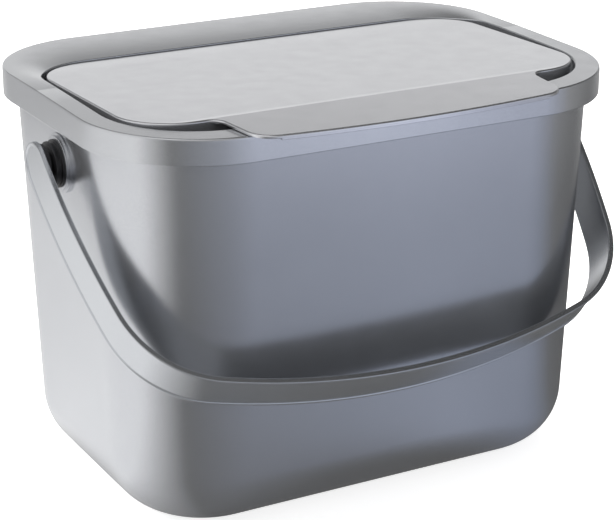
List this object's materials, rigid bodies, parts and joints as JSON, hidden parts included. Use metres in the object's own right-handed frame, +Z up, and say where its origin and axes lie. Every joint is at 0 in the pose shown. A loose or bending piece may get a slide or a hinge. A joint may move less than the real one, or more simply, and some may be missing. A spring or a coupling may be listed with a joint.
{
  "type": "compost caddy",
  "caption": "Rounded kitchen compost caddy: tapered bucket, lift-off collar that traps the liner bag, flush hinged lid with a finger lip, and a swinging strap handle.",
  "frame": {"origin": "middle of the flat base of the bucket", "axes": "+Z up; -Y towards the front, where the finger lip and the hanging handle are; X across, through the handle pivots"},
  "size_m": [0.2644, 0.2001, 0.1868],
  "materials": {
    "bucket_plastic": "satin silver grey moulded plastic with a fine metallic pigment",
    "collar_plastic": "satin silver grey moulded plastic with a fine metallic pigment",
    "lid_plastic": "satin silver grey moulded plastic, slightly paler than the collar",
    "handle_plastic": "satin slate grey moulded plastic",
    "black_plastic": "black moulded plastic",
    "pin_steel": "drawn steel wire"
  },
  "bodies": {
    "bucket_body": {"bucket": "bucket_plastic", "pivot_bush_left": "black_plastic", "pivot_bush_right": "black_plastic"},
    "collar_body": {"collar": "collar_plastic", "hinge_pin_left": "pin_steel", "hinge_pin_right": "pin_steel"},
    "lid_body": {"lid": "lid_plastic"},
    "handle_body": {"handle": "handle_plastic", "pivot_pin_left": "black_plastic", "pivot_pin_right": "black_plastic", "pivot_clip_left": "black_plastic", "pivot_clip_right": "black_plastic"}
  },
  "joints": [
    {"name": "collar_lift", "type": "slide", "parent": "bucket_body", "child": "collar_body", "axis": [0, 0, 1], "range_m": [0, 0.06]},
    {"name": "lid_hinge", "type": "hinge", "parent": "collar_body", "child": "lid_body", "pos_m": [0, 0.064, 0.1808], "axis": [-1, 0, 0], "range_deg": [0, 105]},
    {"name": "handle_swing", "type": "hinge", "parent": "bucket_body", "child": "handle_body", "pos_m": [0, -0.0028, 0.1563], "axis": [-1, 0, 0], "range_deg": [-1, 261]}
  ]
}
